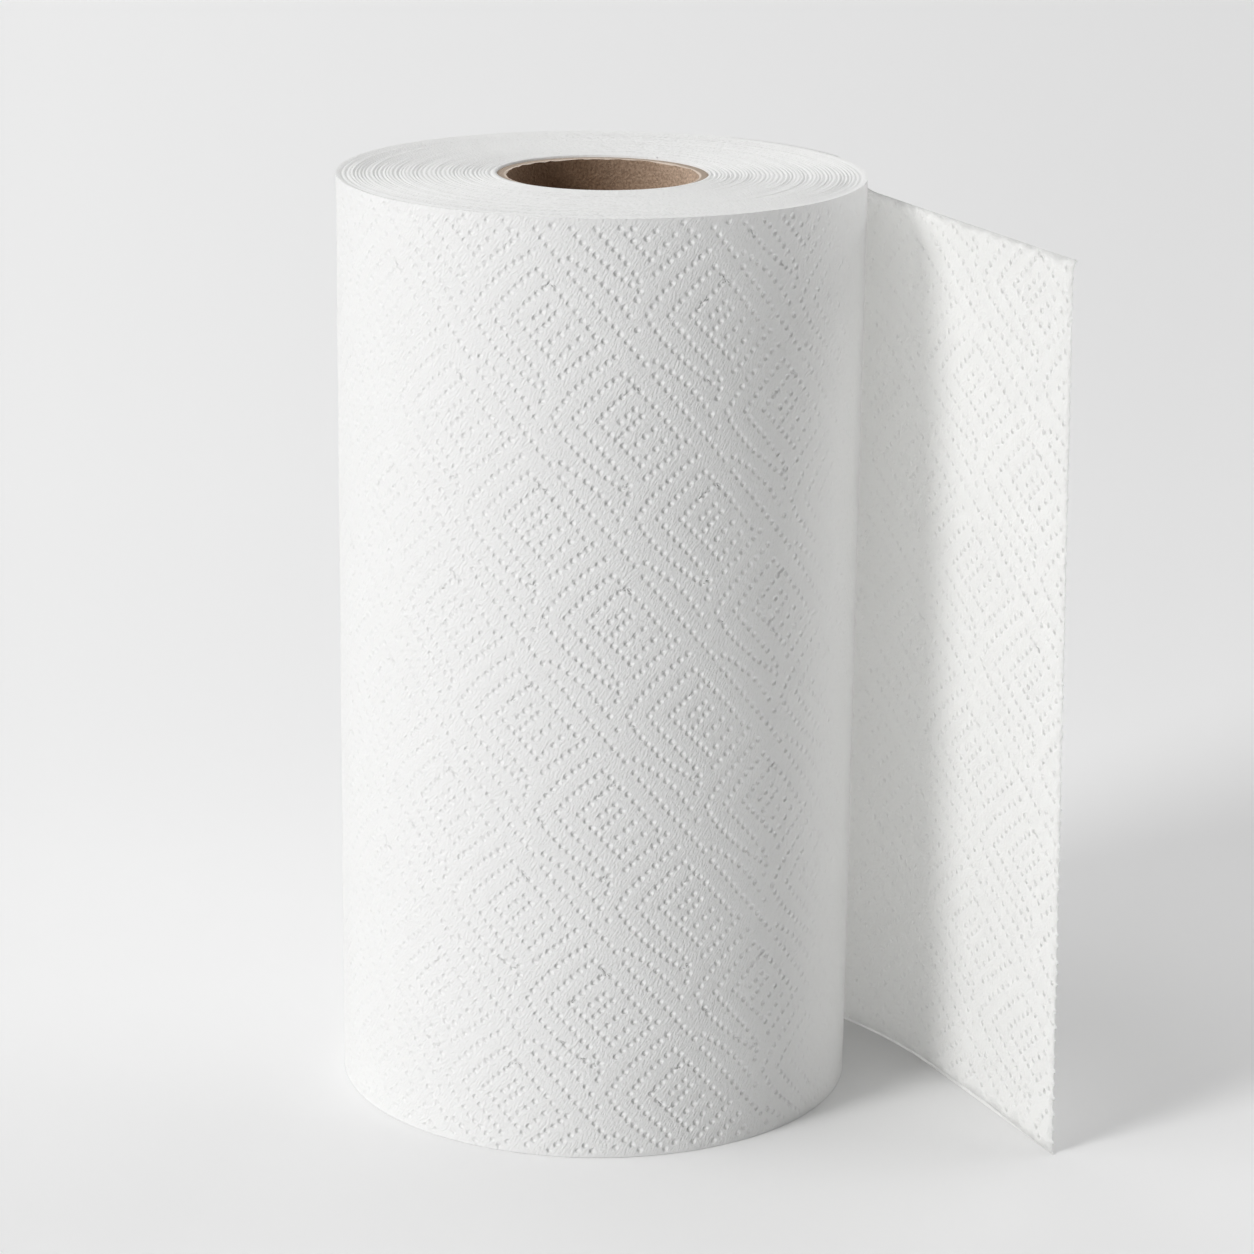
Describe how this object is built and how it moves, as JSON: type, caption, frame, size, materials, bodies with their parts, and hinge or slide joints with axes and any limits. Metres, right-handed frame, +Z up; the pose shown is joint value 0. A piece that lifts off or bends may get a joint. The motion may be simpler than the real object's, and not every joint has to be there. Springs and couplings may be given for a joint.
{
  "type": "paper towel roll",
  "caption": "Roll of embossed kitchen paper on a cardboard core, standing on end with its first sheet pulled loose.",
  "frame": {"origin": "on the roll's axis, at the plane the roll stands on", "axes": "+Z up along the roll's axis; the loose sheet leaves at the back right and runs towards -Y on the +X side"},
  "size_m": [0.1776, 0.1406, 0.23],
  "materials": {
    "paper": "matte, embossed, soft tissue",
    "core_board": "matte unbleached board"
  },
  "bodies": {
    "root": {"core": "core_board", "paper_roll": "paper"}
  },
  "joints": []
}
